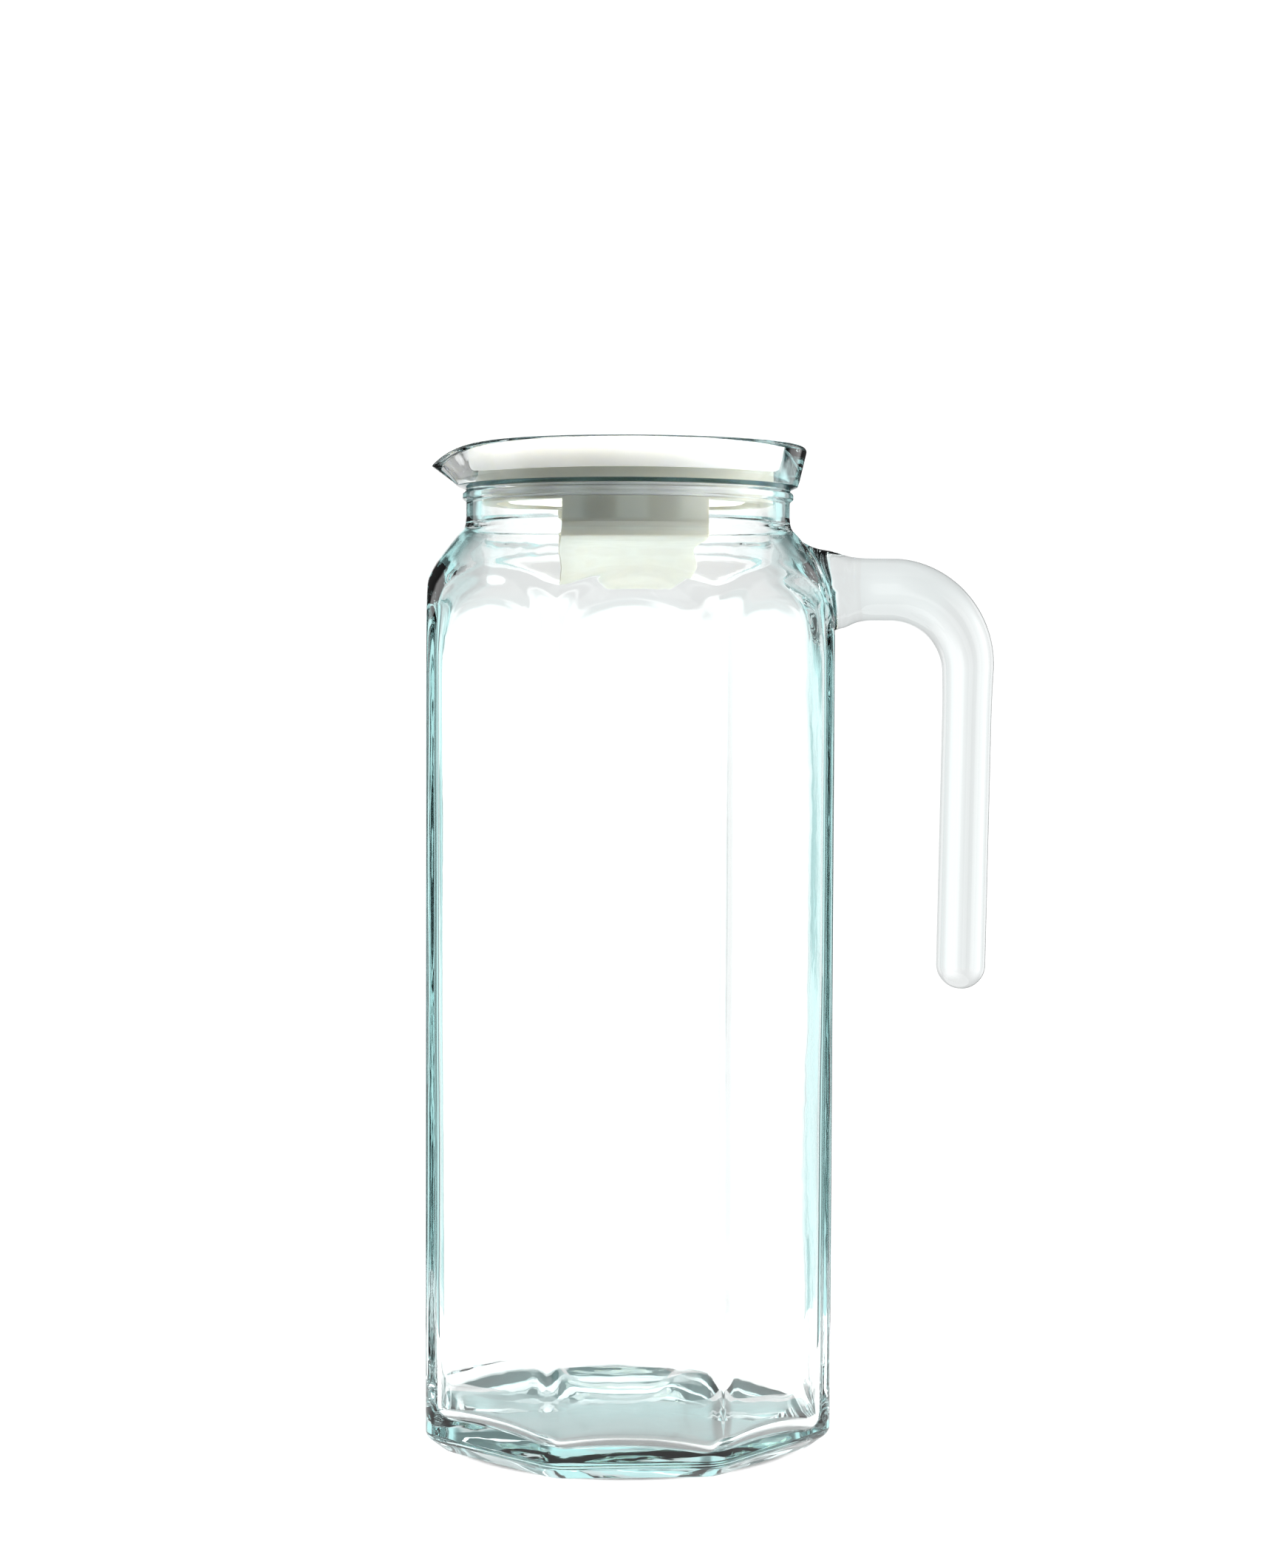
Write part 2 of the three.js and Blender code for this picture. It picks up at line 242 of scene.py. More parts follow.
def outside_rows():
    """Rows from the middle of the underside, up the outside and over the rim to the mouth."""
    rows = []
    for share in (0.12, 0.25, 0.4, 0.52, 0.6, 0.66, 0.72, 0.78, 0.86, 0.94):
        hollow = UNDER_HOLLOW * (1 - min(1, share / UNDER_RIM) ** 2)
        r, z = ring(UNDER_FLAT, NO_CUT, 0.0, FACET_BLEND)
        rows.append((r * share, z + hollow))
    heel = rounded([(FOOT - 4, 0.0, 0), (FOOT, 0.0, 1.7), (APOTHEM, HEEL, 3.0), (APOTHEM, WALL_FOOT, 0)], 7)
    for apothem, z in heel:
        rows.append(ring(apothem, NO_CUT, z, FACET_BLEND))
    wall_top = OUTER_SHOULDER[0][1] - 2
    wall_steps = 34
    for i in range(1, wall_steps + 1):
        z = WALL_FOOT + (wall_top - WALL_FOOT) * i / wall_steps
        rows.append(ring(APOTHEM, NO_CUT, z, FACET_BLEND))
    for radius, z in curve_through(OUTER_SHOULDER):
        rows.append(ring(APOTHEM, radius, z, OUTER_BLEND))
    for radius, z in rounded(NECK_AND_BEAD, 5) + rounded(LIP_AND_RIM, 8)[1:]:
        rows.append(lip_row(radius, z))
    return rows


def inside_rows():
    """Rows from the mouth down the bore, the inner shoulder and the wall to the middle of the floor."""
    rows = []
    inner = APOTHEM - WALL
    for radius, z in rounded(BORE, 5)[1:]:
        rows.append((np.full_like(THETA, radius), np.full_like(THETA, z)))
    for radius, z in curve_through(INNER_SHOULDER):
        rows.append(ring(inner, radius, z, INNER_BLEND, INNER_CORNER))
    # wall, thicker towards the base, down to a fillet that starts lower at the edges
    lift = FILLET_LIFT * (1 - TO_CORNER ** 2.2)
    fillet_top = FLOOR_Z + FILLET_Z + lift
    wall_top = INNER_SHOULDER[-1][1]
    wall_steps = 40
    for i in range(1, wall_steps + 1):
        share = i / wall_steps
        thick = WALL_SWELL * share ** 2
        r, _ = ring(inner - thick, NO_CUT, 0.0, FACET_BLEND, INNER_CORNER + CORNER_GROWTH * share)
        rows.append((r, wall_top + (fillet_top - wall_top) * share))
    edge = rows[-1][0]
    fillet_steps = 16
    for i in range(1, fillet_steps + 1):
        angle = math.pi / 2 * i / fillet_steps
        z = fillet_top - (FILLET_Z + lift * 0.6) * math.sin(angle)
        rows.append((edge - FILLET_R * (1 - math.cos(angle)), z))
    edge_r, edge_z = rows[-1]
    for share in (0.96, 0.91, 0.85, 0.77, 0.68, 0.58, 0.47, 0.36, 0.24, 0.12):
        z = FLOOR_Z + (edge_z - FLOOR_Z) * (1 - (1 - share) ** 0.8) ** 3
        rows.append((edge_r * share, z))
    return rows


def wall_ripple(z):
    """Unevenness of the inner wall: slow waves, up to a quarter of a millimetre deep."""
    up = z / RIPPLE_PITCH
    waves = np.sin(3 * THETA + 2.1 * up)
    waves = waves + 0.8 * np.sin(5 * THETA - 3.7 * up + 1.3)
    waves = waves + 0.6 * np.sin(2 * THETA + 6.1 * up)
    low_fade = np.clip((z - RIPPLE_LOW) / RIPPLE_LOW_FADE, 0, 1)
    high_fade = np.clip((RIPPLE_HIGH - z) / RIPPLE_HIGH_FADE, 0, 1)
    return RIPPLE * waves * low_fade * high_fade


def root_bulge(z):
    """How far the inner wall swells inwards behind the handle's root."""
    turn = (THETA + math.pi) % (2 * math.pi) - math.pi
    y = APOTHEM * np.sin(turn)
    off_middle = z - ARM_Z + BULGE_DROP
    near = np.exp(-(y / BULGE_HALF_WIDTH) ** 2 - (off_middle / BULGE_HALF_HEIGHT) ** 2)
    return np.where(np.cos(THETA) > 0, BULGE * near, 0.0)


def tilt_floor(x, z):
    """The inner floor is a little thicker on the spout side."""
    near = np.clip((TILT_TOP - z) / TILT_FADE, 0, 1)
    return z - FLOOR_TILT * x * near * near


def glass_shell():
    """The body of the jug: its outside and inside rows joined into one closed surface."""
    rows = outside_rows()
    first_inside = len(rows)
    rows += inside_rows()
    verts = []
    for index, (r, z) in enumerate(rows):
        if index >= first_inside and z.max() < BORE_FOOT:
            r = r - wall_ripple(z) - root_bulge(z)
        x, y = r * np.cos(THETA), r * np.sin(THETA)
        if index >= first_inside:
            z = tilt_floor(x, z)
        verts += [Vector(v) * MM for v in zip(x, y, z)]
    count = len(THETA)
    faces = []
    for row in range(len(rows) - 1):
        for k in range(count):
            a, b = row * count + k, row * count + (k + 1) % count
            faces.append((a, b, b + count, a + count))
    low_pole = len(verts)
    verts.append(Vector((0, 0, UNDER_HOLLOW)) * MM)
    high_pole = len(verts)
    verts.append(Vector((0, 0, FLOOR_Z)) * MM)
    last = (len(rows) - 1) * count
    for k in range(count):
        after = (k + 1) % count
        faces.append((low_pole, after, k))
        faces.append((high_pole, last + k, last + after))
    return collect("jug_glass", verts, faces)


# ---------------------------------------------------------------- handle

ARM_Z = 210.3
ARM_RADIUS = 7.85
BEND_X = 65.4
BEND_RADIUS = 19.7
GRIP_RADIUS = 6.15
GRIP_TAPER = 2.15  # the arm thins to the grip over this many bend radii
GRIP_LEAN = 1.3
LEAN_START = 12.0  # the grip turns into its lean over this length
TIP_Z = HANDLE_LOW[2] + 0.05
FLATNESS = 1.2  # depth of the rod's section over its width
ROOT_X = APOTHEM
ROOT_DEPTH = 1.9  # how far the rod reaches into the wall
ROOT_FADE = 12.0  # the rod follows the wall's roundness less and less up to here
FLARE = 4.9  # how far the root spreads where it meets the wall
FLARE_LENGTH = 11.0
FLARE_CURVE = 1.8
SIDE_FLARE = 0.4  # share of the flare that spreads sideways
BURIED_SPREAD = 0.7  # extra spread inside the wall
LUMP = 0.55  # a low ring of extra glass round the root
LUMP_OFF = 4.6
LUMP_WIDTH = 1.9


def handle_point(along):
    """Place and direction on the handle's centre line, in the XZ plane."""
    arm = BEND_X - ROOT_X
    bend = BEND_RADIUS * math.pi / 2
    if along < arm:
        return Vector((ROOT_X + along, 0, ARM_Z)), Vector((1, 0, 0))
    if along < arm + bend:
        angle = (along - arm) / BEND_RADIUS
        c, s = math.cos(angle), math.sin(angle)
        return Vector((BEND_X + BEND_RADIUS * s, 0, ARM_Z - BEND_RADIUS * (1 - c))), Vector((c, 0, -s))
    down = along - arm - bend
    start = Vector((BEND_X + BEND_RADIUS, 0, ARM_Z - BEND_RADIUS))
    end = Vector((start.x - GRIP_LEAN, 0, TIP_Z))
    way = (end - start).normalized()
    blend = min(1, down / LEAN_START)
    return start + way * down, Vector((0, 0, -1)).lerp(way, blend).normalized()


def handle_length():
    """Length of the centre line from the wall to the tip."""
    grip = math.hypot(GRIP_LEAN, ARM_Z - BEND_RADIUS - TIP_Z)
    return (BEND_X - ROOT_X) + BEND_RADIUS * math.pi / 2 + grip


def rod_radius(along):
    """Half thickness of the rod: full along the arm, less in the grip, closed by a dome at the tip."""
    arm = BEND_X - ROOT_X
    t = min(1, max(0, (along - arm) / (GRIP_TAPER * BEND_RADIUS)))
    t = t * t * (3 - 2 * t)
    rod = ARM_RADIUS + (GRIP_RADIUS - ARM_RADIUS) * t
    from_tip = handle_length() - along
    dome = math.sqrt(max(0, 1 - (1 - from_tip / rod) ** 2)) if from_tip < rod else 1
    return rod * dome


def root_flare(off):
    """How much wider the rod is at a distance off the wall: a fillet that meets the wall flat on."""
    lump = LUMP * math.exp(-((off - LUMP_OFF) / LUMP_WIDTH) ** 2)
    if off >= FLARE_LENGTH:
        return lump
    share = 1 - max(off, 0.0) / FLARE_LENGTH
    buried = BURIED_SPREAD if off < 0 else 0.0
    return FLARE * (1 - (1 - share ** FLARE_CURVE) ** (1 / FLARE_CURVE)) + buried + lump


def wall_outside(z):
    """X of the outer surface behind the handle's root."""
    heights = [z for _, z in OUTER_SHOULDER]
    reaches = [min(radius, APOTHEM) for radius, _ in OUTER_SHOULDER]
    return float(np.interp(z, heights, reaches))


def root_seat(y, z):
    """X where the glass surface is at this height, allowing for the shoulder's roundness."""
    radius = wall_outside(z)
    return radius - (0.0 if radius >= APOTHEM - 0.01 else y * y / (2 * radius))


def handle_rod():
    """The handle: a rod that starts inside the wall, bends down and ends free."""
    sides = 72
    length = handle_length()
    bend_start = BEND_X - ROOT_X
    bend_end = bend_start + BEND_RADIUS * math.pi / 2
    offs = [-ROOT_DEPTH, -0.35, 0.02, 0.1, 0.25, 0.5, 0.9, 1.4, 2.0, 2.7, 3.5, 4.4, 5.4, 6.5, 7.7, 9.0, 10.4,
            ROOT_FADE]
    stations = list(np.linspace(bend_start, bend_end, 30))
    stations += list(np.linspace(bend_end, length - GRIP_RADIUS, 26)[1:])
    stations += [length - GRIP_RADIUS * (1 - math.sin(a)) for a in np.linspace(0, math.pi / 2, 16)[1:-1]]
    verts, faces = [], []
    for off in offs:
        for k in range(sides):
            angle = 2 * math.pi * k / sides
            radius = ARM_RADIUS + root_flare(off)
            z = ARM_Z + radius * math.cos(angle)
            y = (ARM_RADIUS * FLATNESS + SIDE_FLARE * root_flare(off)) * math.sin(angle)
            seat = root_seat(y, z)
            reach = min(1, max(0, off / ROOT_FADE)) ** 1.5
            verts.append(Vector((seat + off + (APOTHEM - seat) * reach, y, z)) * MM)
    for along in stations:
        middle, way = handle_point(along)
        up = Vector((-way.z, 0, way.x))
        radius = rod_radius(along)
        for k in range(sides):
            angle = 2 * math.pi * k / sides
            spot = middle + up * radius * math.cos(angle)
            spot.y = radius * FLATNESS * math.sin(angle)
            verts.append(spot * MM)
    rows = len(offs) + len(stations)
    for row in range(rows - 1):
        for k in range(sides):
            a, b = row * sides + k, row * sides + (k + 1) % sides
            faces.append((a, a + sides, b + sides, b))
    start = len(verts)
    verts.append(Vector((APOTHEM - ROOT_DEPTH, 0, ARM_Z)) * MM)
    end = len(verts)
    tip, _ = handle_point(length)
    verts.append(tip * MM)
    last = (rows - 1) * sides
    for k in range(sides):
        after = (k + 1) % sides
        faces.append((start, k, after))
        faces.append((end, last + after, last + k))
    return collect("handle_rod", verts, faces)


def apply_modifiers(obj):
    """Turns what the modifiers make of a piece into its own mesh."""
    depsgraph = bpy.context.evaluated_depsgraph_get()
    mesh = bpy.data.meshes.new_from_object(obj.evaluated_get(depsgraph))
    obj.modifiers.clear()
    obj.data = mesh


def combine(obj, other, operation):
    """Boolean of obj with other, applied; other is removed."""
    modifier = obj.modifiers.new("combine", "BOOLEAN")
    modifier.operation = operation
    modifier.object = other
    modifier.solver = "EXACT"
    apply_modifiers(obj)
    bpy.data.objects.remove(other)


def recalc(obj):
    """Turns all faces outwards."""
    bm = bmesh.new()
    bm.from_mesh(obj.data)
    bmesh.ops.recalc_face_normals(bm, faces=bm.faces)
    bm.to_mesh(obj.data)
    bm.free()


def jug_glass():
    """Body and handle as one piece of glass."""
    body = glass_shell()
    recalc(body)
    rod = handle_rod()
    recalc(rod)
    combine(body, rod, "UNION")
    smooth(body)
    return body


# ---------------------------------------------------------------- lid

COVER_LOW, COVER_HIGH = cad_box("lid_cover")
PLUG_LOW, PLUG_HIGH = cad_box("lid_plug")
SEAL_LOW, SEAL_HIGH = cad_box("seal_ring")

AXIS_GAP = 6.0  # discs are lofted from this radius out
COVER_RADIUS = COVER_HIGH[0]
COVER_FOOT_RADIUS = COVER_RADIUS - 2.2
COVER_TOP = COVER_HIGH[2]
COVER_FOOT = COVER_TOP - 5.4
PLATE = 1.8
WELL_FLOOR = COVER_LOW[2] + 1.5
WELL_RADIUS = 30.0
WELL_WALL = 1.5
BAR_HALF = 6.0
MOON_CORNER = 4.0
NO_BAR = 1e3  # a reach that the grip bar doesn't limit
PLUG_RADIUS = PLUG_HIGH[1]
COLLAR_BORE = PLUG_RADIUS - 3.5
PANEL_WALL = 1.8
WINDOW_TOP = PLUG_LOW[2] + 10.5
PANEL_HALF = 16.8
PLUG_FLOOR = 1.5
FLOOR_SPLIT = 12.0  # the plug's floor is turned outside this radius and a disc inside it
PLUG_TAPER = 1.4  # the plug narrows by this much over its last TAPER_HEIGHT
TAPER_HEIGHT = 4.0
GROOVE_LOW = SEAL_LOW[2] - 0.3
GROOVE_HIGH = SEAL_HIGH[2] + 0.3
GROOVE_RADIUS = PLUG_RADIUS - 1.8


def loft(name, rows):
    """A closed solid through rows of points, with a fan over each end."""
    count = len(rows[0])
    verts = [Vector(point) * MM for row in rows for point in row]
    faces = []
    for row in range(len(rows) - 1):
        for k in range(count):
            a, b = row * count + k, row * count + (k + 1) % count
            faces.append((a, b, b + count, a + count))
    for row, points in ((0, rows[0]), (len(rows) - 1, rows[-1])):
        middle = len(verts)
        verts.append(sum((Vector(point) for point in points), Vector()) / count * MM)
        for k in range(count):
            faces.append((row * count + k, row * count + (k + 1) % count, middle))
    obj = collect(name, verts, faces)
    recalc(obj)
    return obj


def turned(name, profile, steps=144):
    """A ring-shaped solid: a closed outline of (radius, z) turned about the axis."""
    verts, faces = [], []
    count = len(profile)
    for k in range(steps):
        angle = 2 * math.pi * k / steps
        for radius, z in profile:
            verts.append(Vector((radius * math.cos(angle), radius * math.sin(angle), z)) * MM)
    for k in range(steps):
        for i in range(count):
            a, b = k * count + i, k * count + (i + 1) % count
            far_a, far_b = ((k + 1) % steps) * count + i, ((k + 1) % steps) * count + (i + 1) % count
            faces.append((a, far_a, far_b, b))
    obj = collect(name, verts, faces)
    recalc(obj)
    return obj


def disc_rows(profile, steps=144):
    """Rows of a solid of revolution for loft(): one circle for each (radius, z)."""
    circle = [(math.cos(2 * math.pi * k / steps), math.sin(2 * math.pi * k / steps)) for k in range(steps)]
    return [[(radius * c, radius * s, z) for c, s in circle] for radius, z in profile]


def closed_outline(points, steps=4):
    """A closed (u, v, fillet radius) outline turned into (u, v) points with arcs at its corners."""
    wrapped = [points[-1]] + points + [points[0]]
    out = rounded(wrapped, steps)
    return out[1:-1]


def moon_row(side, grow, z, count=96):
    """One outline of a half-moon finger well, grown outwards by grow, at height z."""
    radius, near = WELL_RADIUS + grow, BAR_HALF - grow
    middle = (BAR_HALF + WELL_RADIUS) / 2
    points = []
    for k in range(count):
        angle = 2 * math.pi * k / count
        dx, dy = math.cos(angle), math.sin(angle)
        to_circle = -middle * dy + math.sqrt((middle * dy) ** 2 - middle ** 2 + radius ** 2)
        to_bar = (middle - near) / -dy if dy < -1e-6 else NO_BAR
        reach = float(soft_min(to_circle, min(to_bar, NO_BAR), MOON_CORNER))
        points.append((dx * reach, side * (middle + dy * reach), z))
    return points


def moon(name, side, stages):
    """A half-moon solid through outlines of (growth, z)."""
    return loft(name, [moon_row(side, grow, z) for grow, z in stages])


def fine_edges(obj, width=0.25):
    """Takes the sharpness off the edges that the cuts left, then shades smooth between them."""
    modifier = obj.modifiers.new("bevel", "BEVEL")
    modifier.width = width * MM
    modifier.segments = 2
    modifier.limit_method = "ANGLE"
    modifier.angle_limit = math.radians(40)
    apply_modifiers(obj)
    smooth(obj)
    obj.data.set_sharp_from_angle(angle=math.radians(50))


def cover_outline():
    """Half section of the plate and its sloping rim, from the underside out and back over the top."""
    under = COVER_TOP - PLATE
    return [
        (AXIS_GAP, under, 0), (COVER_RADIUS - 3.0, under, 0.8), (COVER_FOOT_RADIUS - 1.3, COVER_FOOT, 0.4),
        (COVER_FOOT_RADIUS, COVER_FOOT, 0.5), (COVER_RADIUS, COVER_TOP - 0.9, 0.8),
        (COVER_RADIUS - 0.9, COVER_TOP, 0.8), (COVER_RADIUS - 3.4, COVER_TOP, 0.3),
        (COVER_RADIUS - 4.0, COVER_TOP - 0.5, 0.3), (AXIS_GAP, COVER_TOP - 0.5, 0)]


def well_shell(side):
    """Outside of a finger well, up into the plate."""
    low = WELL_FLOOR - WELL_WALL
    return moon("well_shell", side, [
        (-1.2, low), (WELL_WALL - 0.9, low + 0.3), (WELL_WALL - 0.2, low + 1.0), (WELL_WALL, low + 2.0),
        (WELL_WALL, COVER_TOP - PLATE + 0.6)])


def well_hollow(side):
    """Inside of a finger well, with a rounded floor and a rounded mouth."""
    return moon("well_hollow", side, [
        (-3.0, WELL_FLOOR), (-1.6, WELL_FLOOR + 0.25), (-0.7, WELL_FLOOR + 0.8), (-0.2, WELL_FLOOR + 1.6),
        (0.0, WELL_FLOOR + 2.8), (0.0, COVER_TOP - 2.0), (0.12, COVER_TOP - 1.5), (0.45, COVER_TOP - 1.0),
        (1.1, COVER_TOP - 0.5), (2.5, COVER_TOP + 0.2)])


def lid_cover():
    """Plate with a sloping rim and two finger wells, which leave a grip bar between them."""
    cover = loft("pour_lid_cover", disc_rows(rounded(cover_outline(), 5)))
    for side in (1, -1):
        combine(cover, well_shell(side), "UNION")
    for side in (1, -1):
        combine(cover, well_hollow(side), "DIFFERENCE")
    fine_edges(cover, 0.15)
    return cover


def cut_box(x0, x1, y0, y1, z0, z1):
    """A plain box to cut with."""
    rows = [[(x0, y0, z), (x1, y0, z), (x1, y1, z), (x0, y1, z)] for z in (z0, z1)]
    return loft("cut", rows)


def lid_plug():
    """Collar with a seal groove, and below it two panels and a floor with pouring windows between."""
    low, high = PLUG_LOW[2], PLUG_HIGH[2]
    inner = PLUG_RADIUS - PANEL_WALL
    floor = low + PLUG_FLOOR
    collar = turned("pour_lid_plug", closed_outline([
        (FLOOR_SPLIT, low, 0), (PLUG_RADIUS - PLUG_TAPER, low, 0.6), (PLUG_RADIUS, low + TAPER_HEIGHT, 0.5),
        (PLUG_RADIUS, GROOVE_LOW, 0.25), (GROOVE_RADIUS, GROOVE_LOW, 0.2),
        (GROOVE_RADIUS, GROOVE_HIGH, 0.2), (PLUG_RADIUS, GROOVE_HIGH, 0.25), (PLUG_RADIUS, high, 0.4),
        (COLLAR_BORE, high, 0.4), (COLLAR_BORE, WINDOW_TOP, 0.3), (inner, WINDOW_TOP, 0.3),
        (inner, low + TAPER_HEIGHT, 1.0), (inner - PLUG_TAPER, floor, 0.6),
        (FLOOR_SPLIT, floor, 0)], 4))
    overlap = FLOOR_SPLIT + 1
    middle = loft("plug_floor", disc_rows([(overlap, low + 0.001), (overlap, floor - 0.001)]))
    combine(collar, middle, "UNION")
    reach = PLUG_RADIUS + 5
    for x0, x1 in ((-reach, -PANEL_HALF), (PANEL_HALF, reach)):
        combine(collar, cut_box(x0, x1, -reach, reach, low - 5, WINDOW_TOP), "DIFFERENCE")
    fine_edges(collar, 0.2)
    return collar


def seal_ring():
    """Rubber ring with three rounded ribs."""
    inner, outer = GROOVE_RADIUS + 0.3, SEAL_HIGH[0]
    low, high = SEAL_LOW[2], SEAL_HIGH[2]
    third = (high - low) / 3
    ring_mesh = turned("neck_seal", closed_outline([
        (inner, low, 0.2), (outer - 0.5, low, 0.2), (outer, low + 0.35, 0.3),
        (outer - 0.55, low + third, 0.2), (outer, low + 1.5 * third, 0.3),
        (outer - 0.55, low + 2 * third, 0.2), (outer, high - 0.35, 0.3),
        (outer - 0.5, high, 0.2), (inner, high, 0.2)], 4))
    smooth(ring_mesh)
    return ring_mesh


# ---------------------------------------------------------------- materials


def node_material(name):
    """A new material, with its node tree, shader and output."""
    material = bpy.data.materials.new(name)
    material.use_nodes = True
    tree = material.node_tree
    return material, tree, tree.nodes["Principled BSDF"], tree.nodes["Material Output"]


def math_node(tree, operation, a, b=None):
    """A math node; a and b are sockets or numbers. Returns its output."""
    node = tree.nodes.new("ShaderNodeMath")
    node.operation = operation
    for socket, value in zip(node.inputs, (a, b)):
        if value is None:
            continue
        if isinstance(value, (int, float)):
            socket.default_value = value
        else:
            tree.links.new(value, socket)
    return node.outputs[0]


def ramp_node(tree, value, stops):
    """A grey colour ramp over value. stops: (place, level)."""
    node = tree.nodes.new("ShaderNodeValToRGB")
    node.color_ramp.interpolation = "EASE"
    marks = node.color_ramp.elements
    while len(marks) < len(stops):
        marks.new(0.5)
    for mark, (place, level) in zip(marks, stops):
        mark.position = place
        mark.color = (level, level, level, 1)
    tree.links.new(value, node.inputs["Fac"])
    return node.outputs["Color"]


def mix_levels(tree, factor, a, b):
    """a where factor is 0, b where it is 1."""
    kept = math_node(tree, "MULTIPLY", a, math_node(tree, "SUBTRACT", 1.0, factor))
    added = math_node(tree, "MULTIPLY", b, factor)
    return math_node(tree, "ADD", kept, added)


def place_of(tree, output):
    """X, Y and Z of a texture coordinate, as the outputs of one node."""
    place = tree.nodes.new("ShaderNodeTexCoord")
    split = tree.nodes.new("ShaderNodeSeparateXYZ")
    tree.links.new(place.outputs[output], split.inputs[0])
    return split


def off_axis(tree, split):
    """Distance from the upright axis."""
    across = math_node(tree, "MULTIPLY", split.outputs["X"], split.outputs["X"])
    deep = math_node(tree, "MULTIPLY", split.outputs["Y"], split.outputs["Y"])
    return math_node(tree, "SQRT", math_node(tree, "ADD", across, deep))


def noise(tree, scale, detail=2.0):
    """Smooth noise in the piece's own metres; scale is waves per metre."""
    place = tree.nodes.new("ShaderNodeTexCoord")
    node = tree.nodes.new("ShaderNodeTexNoise")
    node.inputs["Scale"].default_value = scale
    node.inputs["Detail"].default_value = detail
    tree.links.new(place.outputs["Object"], node.inputs["Vector"])
    return node.outputs["Fac"]


def spread(tree, value, low, high):
    """Maps the middle of a noise's range onto low to high."""
    node = tree.nodes.new("ShaderNodeMapRange")
    node.inputs["From Min"].default_value = 0.3
    node.inputs["From Max"].default_value = 0.7
    node.inputs["To Min"].default_value = low
    node.inputs["To Max"].default_value = high
    tree.links.new(value, node.inputs["Value"])
    return node.outputs["Result"]


def add_bump(tree, shader, heights):
    """Stacks bumps of (noise value, depth in metres) into the shader's normal."""
    before = None
    for value, depth in heights:
        node = tree.nodes.new("ShaderNodeBump")
        node.inputs["Strength"].default_value = 1.0
        node.inputs["Distance"].default_value = depth
        tree.links.new(value, node.inputs["Height"])
        if before is not None:
            tree.links.new(before, node.inputs["Normal"])
        before = node.outputs["Normal"]
    tree.links.new(before, shader.inputs["Normal"])


def blend_colour(tree, value, first, second):
    """One colour where value is 0, the other where it is 1."""
    node = tree.nodes.new("ShaderNodeMix")
    node.data_type = "RGBA"
    node.inputs["A"].default_value = (*first, 1)
    node.inputs["B"].default_value = (*second, 1)
    tree.links.new(value, node.inputs["Factor"])
    return node.outputs["Result"]


def mix_tints(tree, value, first, second):
    """first (a socket) where value is 0, second (a colour) where it is 1."""
    node = tree.nodes.new("ShaderNodeMix")
    node.data_type = "RGBA"
    node.inputs["B"].default_value = (*second, 1)
    tree.links.new(value, node.inputs["Factor"])
    tree.links.new(first, node.inputs["A"])
    return node.outputs["Result"]


COVER_PALE = (0.91, 0.905, 0.87)
COVER_DEEP = (0.87, 0.865, 0.83)
COVER_SCATTER = 0.008
COVER_PAINTED_GLOW = 0.26  # painted light: emission that brings the rim up to white behind the lip
PLUG_SHADED_PALE = (0.66, 0.66, 0.58)  # painted shade: greyer than the cover, so that its panel reads dark
PLUG_SHADED_DEEP = (0.62, 0.62, 0.54)
PLUG_SCATTER = 0.0015
GLASS_IOR = 1.52
GLASS_COLOUR = (0.3, 0.72, 0.72)
GLASS_DENSITY = 4.0
# painted shade: the colour of a dark line painted into the glass at the groove under the lip
LINE_PAINTED_SHADE = (0.012, 0.035, 0.04)
LINE_Z = 234.75
LINE_HALF = 0.5
LINE_INSIDE = NECK_BORE + 2  # the bore inside this radius doesn't get the painted shade line


def painted_shade_band(tree):
    """1 in a thin band round the groove under the lip, where a dark line of painted shade darkens the glass.
    """
    split = place_of(tree, "Object")
    off = math_node(tree, "ABSOLUTE", math_node(tree, "SUBTRACT", split.outputs["Z"], LINE_Z * MM))
    near = math_node(tree, "SUBTRACT", 1.0, math_node(tree, "DIVIDE", off, 2 * LINE_HALF * MM))
    in_band = ramp_node(tree, near, [(0.4, 0), (0.6, 1)])
    outside = math_node(tree, "GREATER_THAN", off_axis(tree, split), LINE_INSIDE * MM)
    return math_node(tree, "MULTIPLY", in_band, outside)


def glass_material():
    """Clear glass, blue-green in its depth, with slow ripples in its skin and a dark line of painted shade
    at the groove.
    """
    material, tree, shader, output = node_material("clear_glass")
    shader.inputs["IOR"].default_value = GLASS_IOR
    shader.inputs["Transmission Weight"].default_value = 1.0
    tint = blend_colour(tree, spread(tree, noise(tree, 18.0), 0, 1), (1.0, 1.0, 1.0), (0.985, 0.995, 0.99))
    # the glass colour is darkened to a painted shade line round the groove
    tree.links.new(mix_tints(tree, painted_shade_band(tree), tint, LINE_PAINTED_SHADE), shader.inputs["Base Color"])
    tree.links.new(spread(tree, noise(tree, 45.0, 4.0), 0.0, 0.012), shader.inputs["Roughness"])
    add_bump(tree, shader, [(noise(tree, 38.0, 1.0), 0.0002), (noise(tree, 160.0, 1.0), 0.00003)])
    absorb = tree.nodes.new("ShaderNodeVolumeAbsorption")
    absorb.inputs["Color"].default_value = (*GLASS_COLOUR, 1)
    absorb.inputs["Density"].default_value = GLASS_DENSITY
    tree.links.new(absorb.outputs["Volume"], output.inputs["Volume"])
    return material


